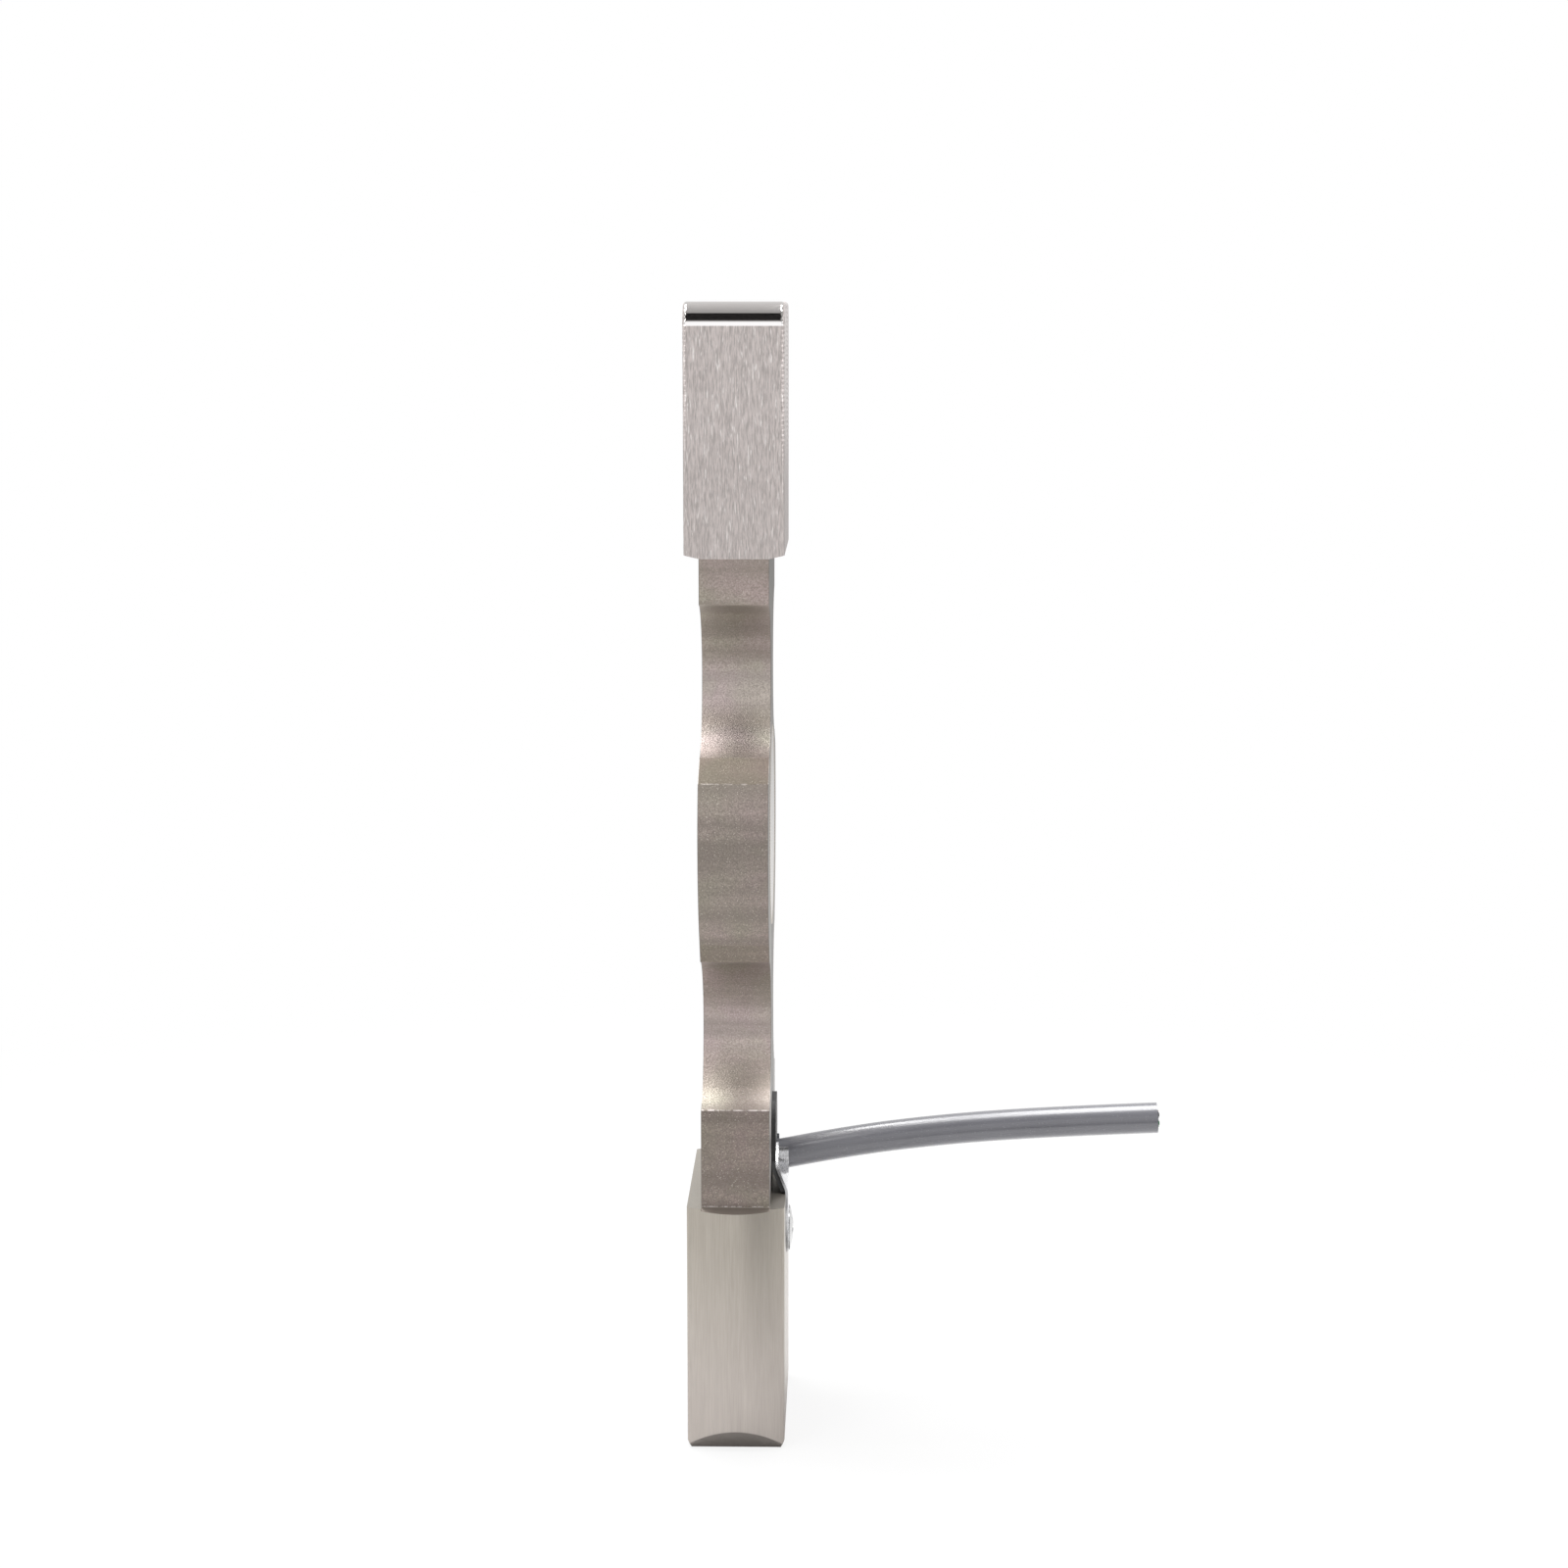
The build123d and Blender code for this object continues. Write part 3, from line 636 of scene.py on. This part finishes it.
def weld_material(colour):
    """A laser weld's bead: overlapping scales round the cover and a straw heat tint."""
    material, tree, shader = new_material("weld_bead")
    vector, _, y, z = place(tree)
    angle = calc(tree, "ARCTAN2", calc(tree, "SUBTRACT", z, RING_CENTRE.z), y)
    scales = product(tree, calc(tree, "SINE", product(tree, angle, 190.0)), 0.5)
    scales = calc(tree, "ADD", scales, 0.5)
    grains = add_sand(tree, vector, 0.18 * MM)["Grains"]
    specks = product(tree, grains, 0.3)
    base = mix_colour(tree, scales, *shades(colour, 0.7, 1.25))
    base = mix_colour(tree, specks, base, (0.20, 0.17, 0.16))
    feed(
        tree,
        shader,
        Base_Color=base,
        Metallic=1.0,
        Roughness=mix_value(tree, grains, 0.28, 0.44),
        Normal=bump(tree, calc(tree, "ADD", scales, specks), 0.02 * MM),
    )
    return material


def rubber_material(colour):
    """Smooth black rubber with a dusty bloom and fine grain."""
    material, tree, shader = new_material("pad_rubber")
    vector = place(tree)[0]
    grains = add_sand(tree, vector, 0.22 * MM)["Grains"]
    patches = add_patches(tree, vector, 3 * MM)
    bloom = product(tree, grains, patches, 0.35)
    feed(
        tree,
        shader,
        Base_Color=mix_colour(tree, bloom, colour, (0.09, 0.088, 0.085)),
        Roughness=mix_value(tree, patches, 0.42, 0.6),
        Normal=bump(tree, grains, 0.01 * MM),
    )
    return material


def jacket_material(colour):
    """The cable's smooth, glossy grey jacket, with a fine grain, soft handling marks and a little dust."""
    material, tree, shader = new_material("cable_jacket")
    vector = place(tree)[0]
    sand = add_sand(tree, vector, 0.25 * MM)
    patches = add_patches(tree, vector, 5 * MM)
    base = mix_colour(tree, patches, *shades(colour, 0.97, 1.03))
    dust = product(tree, sand["Sparks"], 0.12)
    feed(
        tree,
        shader,
        Base_Color=mix_colour(tree, dust, base, (0.5, 0.5, 0.5)),
        Roughness=mix_value(tree, patches, 0.30, 0.33),
        Specular_IOR_Level=0.8,
        Coat_Weight=0.7,
        Coat_Roughness=0.2,
        Normal=bump(tree, sand["Grains"], 0.0004 * MM),
    )
    return material


def film_material(film, foil):
    """A gauge's amber film with the bright bars of its foil grid."""
    material, tree, shader = new_material("gauge_foil")
    vector, x = place(tree)[:2]
    bars = rise(tree, calc(tree, "SINE", product(tree, x, 2 * math.pi / (0.36 * MM))), -0.1, 0.15)
    low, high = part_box("gauge_front")
    after_start = rise(tree, x, low.x + 0.35 * MM, low.x + 0.40 * MM)
    before_end = rise(tree, x, high.x - 0.35 * MM, high.x - 0.40 * MM)
    grid = product(tree, bars, after_start, before_end)
    grains = add_sand(tree, vector, 0.3 * MM)["Grains"]
    base = mix_colour(tree, grains, *shades(film, 0.8, 1.0))
    feed(
        tree,
        shader,
        Base_Color=mix_colour(tree, grid, base, foil),
        Metallic=product(tree, grid, 0.9),
        Roughness=mix_value(tree, grid, 0.35, 0.28),
        Normal=bump(tree, grid, 0.005 * MM),
    )
    return material


def board_material(colour):
    """A coated glass-fibre board with the weave just showing."""
    material, tree, shader = new_material("terminal_board")
    y, z = place(tree)[2:]
    turn = 2 * math.pi / (0.5 * MM)
    warp = calc(tree, "SINE", product(tree, y, turn))
    weft = calc(tree, "SINE", product(tree, z, turn))
    weave = rise(tree, product(tree, warp, weft), -0.6, 0.6)
    feed(
        tree,
        shader,
        Base_Color=mix_colour(tree, weave, *shades(colour, 0.8, 1.3)),
        Roughness=mix_value(tree, weave, 0.3, 0.4),
        Normal=bump(tree, weave, 0.01 * MM),
    )
    return material


def plain_plastic_material(name, colour, roughness):
    """A small plastic part: fine grain and slight wear on one colour."""
    material, tree, shader = new_material(name)
    vector = place(tree)[0]
    grains = add_sand(tree, vector, 0.15 * MM)["Grains"]
    patches = add_patches(tree, vector, 2 * MM)
    feed(
        tree,
        shader,
        Base_Color=mix_colour(tree, grains, *shades(colour, 0.85, 1.12)),
        Roughness=mix_value(tree, patches, roughness - 0.06, roughness + 0.06),
        Normal=bump(tree, grains, 0.004 * MM),
    )
    return material


def dress(node, material):
    """Gives a CAD node its finished material."""
    mesh = NODES[node].data
    mesh.materials.clear()
    mesh.materials.append(material)


# Helpers for modelling


def begin():
    """Leaves edit mode and deselects everything, so that an operator acts on the new piece alone."""
    if bpy.context.object is not None and bpy.context.object.mode != "OBJECT":
        bpy.ops.object.mode_set(mode="OBJECT")
    bpy.ops.object.select_all(action="DESELECT")


def adopt(piece, name, material):
    """Names a finished piece, settles its place into its mesh, and fastens it to the body."""
    begin()
    bpy.context.view_layer.objects.active = piece
    piece.select_set(True)
    bpy.ops.object.transform_apply(location=True, rotation=True, scale=True)
    piece.name = name
    piece.data.name = name
    piece.data.materials.clear()
    piece.data.materials.append(material)
    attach(piece, "root")
    return piece


def select_top(piece):
    """Selects the faces that look up, of the piece in edit mode."""
    mesh = bmesh.from_edit_mesh(piece.data)
    for part in (mesh.verts, mesh.edges, mesh.faces):
        for one in part:
            one.select_set(False)
    for face in mesh.faces:
        if face.normal.z > 0.9:
            face.select_set(True)
    mesh.select_flush(True)
    bmesh.update_edit_mesh(piece.data)


# Operators, one for each piece or group of like pieces


class LOADCELL_OT_element(bpy.types.Operator):
    """Finish the steel element"""

    bl_idname = "loadcell.element"
    bl_label = "Finish element"

    def execute(self, context):
        dress("spring_body", element_material(context.scene.load_cell_element))
        return {"FINISHED"}


class LOADCELL_OT_covers(bpy.types.Operator):
    """Finish the two covers and lay the weld round each"""

    bl_idname = "loadcell.covers"
    bl_label = "Finish covers and welds"

    def execute(self, context):
        finish = context.scene.load_cell_fittings
        turned = cover_material(finish.cover_colour)
        bead = weld_material(finish.weld_colour)
        for side, sign in (("right", 1), ("left", -1)):
            dress(f"cover_{side}", turned)
            low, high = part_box(f"cover_{side}")
            face = high.x if sign > 0 else low.x
            radius = (high.z - low.z) / 2
            begin()
            bpy.ops.mesh.primitive_torus_add(
                location=(face - sign * 0.01 * MM, 0, RING_CENTRE.z),
                rotation=(0, math.radians(90), 0),
                major_radius=radius + 0.02 * MM,
                minor_radius=0.22 * MM,
                major_segments=144,
                minor_segments=10,
            )
            piece = bpy.context.object
            piece.scale = (1, 1, 0.3)
            bpy.ops.object.shade_smooth()
            adopt(piece, f"cover_weld_{side}", bead)
        return {"FINISHED"}


class LOADCELL_OT_threads(bpy.types.Operator):
    """Cut the turns of the thread in each end"""

    bl_idname = "loadcell.threads"
    bl_label = "Make threads"

    def execute(self, context):
        sizes = context.scene.load_cell_threads
        steel = sheet_steel_material("thread_steel", (0.46, 0.43, 0.40), 0.3)
        foot, top = ELEMENT_LOW.z, ELEMENT_HIGH.z
        starts = {
            "lower_thread_turns": foot + sizes.mouth + sizes.pitch / 2,
            "upper_thread_turns": top - sizes.mouth - sizes.pitch * (sizes.turns + 0.5),
        }
        for name, start in starts.items():
            # A triangle as high as the tooth, with its base just behind the wall, wound up the axis
            begin()
            bpy.ops.mesh.primitive_circle_add(
                vertices=3,
                radius=sizes.tooth / 1.5,
                fill_type="NGON",
                location=(sizes.wall_radius - sizes.tooth / 3 + 0.01 * MM, 0, start),
                rotation=(math.radians(90), 0, 0),
            )
            piece = bpy.context.object
            bpy.ops.object.mode_set(mode="EDIT")
            bpy.ops.mesh.select_all(action="SELECT")
            bpy.ops.transform.rotate(
                value=math.radians(90), orient_axis="Y", center_override=piece.location
            )
            bpy.ops.mesh.delete(type="ONLY_FACE")
            bpy.ops.object.mode_set(mode="OBJECT")
            bpy.ops.object.transform_apply(location=True, rotation=True, scale=True)
            turn = piece.modifiers.new("turns", "SCREW")
            turn.axis = "Z"
            turn.steps = turn.render_steps = 40
            turn.screw_offset = sizes.pitch
            turn.iterations = sizes.turns
            turn.use_merge_vertices = False
            bpy.ops.object.modifier_apply(modifier=turn.name)
            bpy.ops.object.mode_set(mode="EDIT")
            bpy.ops.mesh.select_all(action="SELECT")
            bpy.ops.mesh.fill_holes(sides=3)
            bpy.ops.mesh.normals_make_consistent(inside=False)
            bpy.ops.object.mode_set(mode="OBJECT")
            adopt(piece, name, steel)
        return {"FINISHED"}


class LOADCELL_OT_clip(bpy.types.Operator):
    """Finish the clip, its screw and the rubber pad"""

    bl_idname = "loadcell.clip"
    bl_label = "Finish clip, screw and pad"

    def execute(self, context):
        finish = context.scene.load_cell_fittings
        dress("cable_clip", sheet_steel_material("clip_steel", finish.sheet_colour, 0.2))
        screw = sheet_steel_material("screw_steel", finish.screw_colour, 0.24, 0.1 * MM, 0.6 * MM)
        dress("clip_screw", screw)
        dress("sealing_pad", rubber_material(finish.rubber_colour))
        return {"FINISHED"}


class LOADCELL_OT_cable(bpy.types.Operator):
    """Lay the cable along its route and finish its cut end"""

    bl_idname = "loadcell.cable"
    bl_label = "Make cable"

    def execute(self, context):
        sizes = context.scene.load_cell_cable
        finish = context.scene.load_cell_fittings
        jacket = jacket_material(finish.jacket_colour)
        begin()
        line = bpy.data.curves.new("cable", "CURVE")
        line.dimensions = "3D"
        run = line.splines.new("NURBS")
        run.points.add(len(CABLE_ROUTE) - 1)
        for point, spot in zip(run.points, CABLE_ROUTE):
            point.co = (*spot, 1.0)
        run.order_u = 3
        run.use_endpoint_u = True
        run.resolution_u = 24
        line.bevel_depth = sizes.diameter / 2
        line.bevel_resolution = 10
        line.use_fill_caps = True
        line.materials.append(jacket)
        cable = bpy.data.objects.new("cable", line)
        context.scene.collection.objects.link(cable)
        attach(cable, "root")
        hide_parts("cable_sheath")
        ends = self.cut_end(sizes)
        return {"FINISHED"}

    def cut_end(self, sizes):
        """The cut end's screen and the four cores, each with its strands, square to the last run."""
        tip = Vector(CABLE_ROUTE[-1])
        run = (tip - Vector(CABLE_ROUTE[-2])).normalized()
        turn = run.to_track_quat("Z", "Y").to_matrix().to_4x4()
        frame_at_tip = Matrix.Translation(tip) @ turn
        begin()
        bpy.ops.mesh.primitive_cylinder_add(
            vertices=48, radius=sizes.filler_diameter / 2, depth=PLUG_DEPTH
        )
        screen = bpy.context.object
        bpy.ops.object.mode_set(mode="EDIT")
        select_top(screen)
        bpy.ops.mesh.inset(thickness=0.08 * MM)
        bpy.ops.transform.translate(value=(0, 0, -0.06 * MM))
        bpy.ops.object.mode_set(mode="OBJECT")
        screen.matrix_world = frame_at_tip @ Matrix.Translation((0, 0, 0.04 * MM - PLUG_DEPTH / 2))
        foil = sheet_steel_material("cable_screen", (0.5, 0.5, 0.5), 0.3, 0.1 * MM, 1 * MM)
        made = [adopt(screen, "cable_screen", foil)]
        spread = sizes.filler_diameter / 4 * 1.05
        for index, (tone, colour) in enumerate(CORE_COLOURS.items()):
            angle = math.radians(45 + 90 * index)
            begin()
            bpy.ops.mesh.primitive_cylinder_add(
                vertices=24, radius=sizes.core_diameter / 2, depth=PLUG_DEPTH
            )
            core = bpy.context.object
            bpy.ops.object.mode_set(mode="EDIT")
            select_top(core)
            bpy.ops.mesh.inset(thickness=sizes.core_diameter * 0.24)
            bpy.ops.mesh.extrude_region_move(TRANSFORM_OT_translate={"value": (0, 0, 0.08 * MM)})
            bpy.ops.object.mode_set(mode="OBJECT")
            core.matrix_world = frame_at_tip @ Matrix.Translation(
                (spread * math.cos(angle), spread * math.sin(angle), sizes.core_reach - PLUG_DEPTH / 2)
            )
            plastic = plain_plastic_material(f"cable_core_{tone}", colour, 0.4)
            made.append(adopt(core, f"cable_core_{tone}", plastic))
        return made


class LOADCELL_OT_inner_parts(bpy.types.Operator):
    """Finish the gauges, board, wires, cores and compound inside"""

    bl_idname = "loadcell.inner_parts"
    bl_label = "Finish inner parts"

    def execute(self, context):
        finish = context.scene.load_cell_fittings
        film = film_material(finish.film_colour, finish.foil_colour)
        for name in ("top", "bottom", "front", "rear"):
            dress(f"gauge_{name}", film)
        dress("terminal_board", board_material(finish.board_colour))
        dress("balance_resistors", plain_plastic_material("chip", (0.02, 0.02, 0.022), 0.35))
        dress("solder_joints", sheet_steel_material("solder", (0.62, 0.62, 0.61), 0.22, 0.2 * MM, 0.4 * MM))
        dress("gauge_leads", sheet_steel_material("lead_wire", (0.62, 0.33, 0.16), 0.25, 0.05 * MM, 1 * MM))
        dress("channel_compound", plain_plastic_material("compound", (0.025, 0.025, 0.026), 0.5))
        for tone, colour in CORE_COLOURS.items():
            dress(f"core_{tone}", plain_plastic_material(f"core_{tone}", colour, 0.4))
        return {"FINISHED"}


class LOADCELL_OT_stage(bpy.types.Operator):
    """Set the pale floor, the soft lamps and the camera"""

    bl_idname = "loadcell.stage"
    bl_label = "Set stage"

    def execute(self, context):
        studio = context.scene.load_cell_studio
        self.floor(studio)
        for name, (spot, tilt, size) in CARDS.items():
            self.flag(name, spot, math.radians(tilt), size)
        self.room(context, studio)
        for name, (spot, target, size) in LAMPS.items():
            self.lamp(context, name, spot, target, size, getattr(studio, f"{name}_level"))
        self.camera(context, studio)
        context.scene.view_settings.view_transform = "Standard"
        return {"FINISHED"}

    def floor(self, studio):
        """A wide floor that shows white and keeps the object's soft shadow."""
        begin()
        bpy.ops.mesh.primitive_plane_add(size=6, location=(0, 0, -0.02 * MM))
        floor = bpy.context.object
        floor.name = "floor"
        material = bpy.data.materials.new("floor")
        material.use_nodes = True
        tree = material.node_tree
        tree.nodes.clear()
        vector = put(tree, "ShaderNodeTexCoord").outputs["Object"]
        away = put(tree, "ShaderNodeVectorMath", {0: vector}, operation="LENGTH").outputs["Value"]
        cloud = noise(tree, vector, 6.0, 2.0, 0.5)
        tone = mix_colour(tree, cloud, *shades(studio.floor_colour, 0.98, 1.0))
        matte = put(tree, "ShaderNodeBsdfDiffuse", {"Color": tone}).outputs[0]
        glow = put(tree, "ShaderNodeEmission", {"Color": (1, 1, 1, 1), "Strength": 1.0}).outputs[0]
        seen = put(tree, "ShaderNodeLightPath").outputs["Is Camera Ray"]
        share = product(tree, rise(tree, away, 0.04, 0.2, 0.84, 1.0), seen)
        mixed = put(tree, "ShaderNodeMixShader", {0: share, 1: matte, 2: glow}).outputs[0]
        put(tree, "ShaderNodeOutputMaterial", {"Surface": mixed})
        floor.data.materials.append(material)

    def flag(self, name, spot, tilt, size):
        """A dark card of felt that only reflections show."""
        begin()
        bpy.ops.mesh.primitive_plane_add(size=1, location=spot, rotation=(tilt, 0, 0))
        card = bpy.context.object
        card.scale = size
        card.name = name
        material, tree, shader = new_material(name)
        felt = noise(tree, place(tree)[0], 40.0, 2.0, 0.6)
        black = mix_colour(tree, felt, *FELT_SHADES)
        feed(tree, shader, Base_Color=black, Roughness=0.9)
        card.data.materials.append(material)
        card.visible_camera = False
        card.visible_diffuse = False
        card.visible_shadow = False

    def room(self, context, studio):
        """A white room, plain to the camera and in metal, dimmer on dull things."""
        world = context.scene.world or bpy.data.worlds.new("room")
        context.scene.world = world
        world.use_nodes = True
        tree = world.node_tree
        tree.nodes.clear()
        path = put(tree, "ShaderNodeLightPath").outputs
        clear = calc(tree, "MAXIMUM", path["Is Camera Ray"], path["Is Glossy Ray"])
        clear = calc(tree, "MAXIMUM", clear, path["Is Transmission Ray"])
        strength = mix_value(tree, clear, studio.room_level, 1.0)
        light = put(tree, "ShaderNodeBackground", {"Color": (1, 1, 1, 1), "Strength": strength}).outputs[0]
        put(tree, "ShaderNodeOutputWorld", {"Surface": light})

    def lamp(self, context, name, spot, target, size, power):
        """A soft lamp, its size given across and along, that faces a target."""
        data = bpy.data.lights.new(f"{name}_lamp", "AREA")
        data.shape = "RECTANGLE"
        data.size, data.size_y = size
        data.energy = power
        lamp = bpy.data.objects.new(f"{name}_lamp", data)
        lamp.location = spot
        aim = Vector(target) - Vector(spot)
        lamp.rotation_euler = aim.to_track_quat("-Z", "Y").to_euler()
        context.scene.collection.objects.link(lamp)

    def camera(self, context, studio):
        """The camera at the photograph's angle."""
        data = bpy.data.cameras.new("camera")
        data.sensor_width = 36
        data.lens = studio.lens
        data.clip_start = 0.005
        camera = bpy.data.objects.new("camera", data)
        camera.location = studio.eye
        camera.rotation_euler = (studio.tilt, 0, studio.pan)
        context.scene.collection.objects.link(camera)
        context.scene.camera = camera


class LOADCELL_PT_panel(bpy.types.Panel):
    """Sizes, colours and steps of the load cell"""

    bl_idname = "LOADCELL_PT_panel"
    bl_label = "Load Cell"
    bl_space_type = "VIEW_3D"
    bl_region_type = "UI"
    bl_category = "Load Cell"

    def draw(self, context):
        for label, group in SETTINGS.items():
            box = self.layout.box()
            box.label(text=label)
            values = getattr(context.scene, group)
            for name in values.__annotations__:
                box.prop(values, name)
        for operator in STEPS:
            self.layout.operator(operator.bl_idname)


SETTINGS = {
    "Element": "load_cell_element",
    "Fittings": "load_cell_fittings",
    "Threads": "load_cell_threads",
    "Cable": "load_cell_cable",
    "Studio": "load_cell_studio",
}
GROUPS = (ElementFinish, FittingFinish, ThreadSizes, CableSizes, StudioSettings)
STEPS = (
    LOADCELL_OT_element,
    LOADCELL_OT_covers,
    LOADCELL_OT_threads,
    LOADCELL_OT_clip,
    LOADCELL_OT_cable,
    LOADCELL_OT_inner_parts,
    LOADCELL_OT_stage,
)


def register():
    """Registers the classes and hangs the settings on the scene."""
    for kind in (*GROUPS, *STEPS, LOADCELL_PT_panel):
        bpy.utils.register_class(kind)
    for group, attribute in zip(GROUPS, SETTINGS.values()):
        setattr(bpy.types.Scene, attribute, bpy.props.PointerProperty(type=group))


def unregister():
    """Takes the settings and the classes away again."""
    for attribute in SETTINGS.values():
        delattr(bpy.types.Scene, attribute)
    for kind in reversed((*GROUPS, *STEPS, LOADCELL_PT_panel)):
        bpy.utils.unregister_class(kind)


def main():
    """Builds the whole object."""
    register()
    for step in STEPS:
        getattr(bpy.ops.loadcell, step.bl_idname.split(".")[1])()


if __name__ == "__main__":
    main()
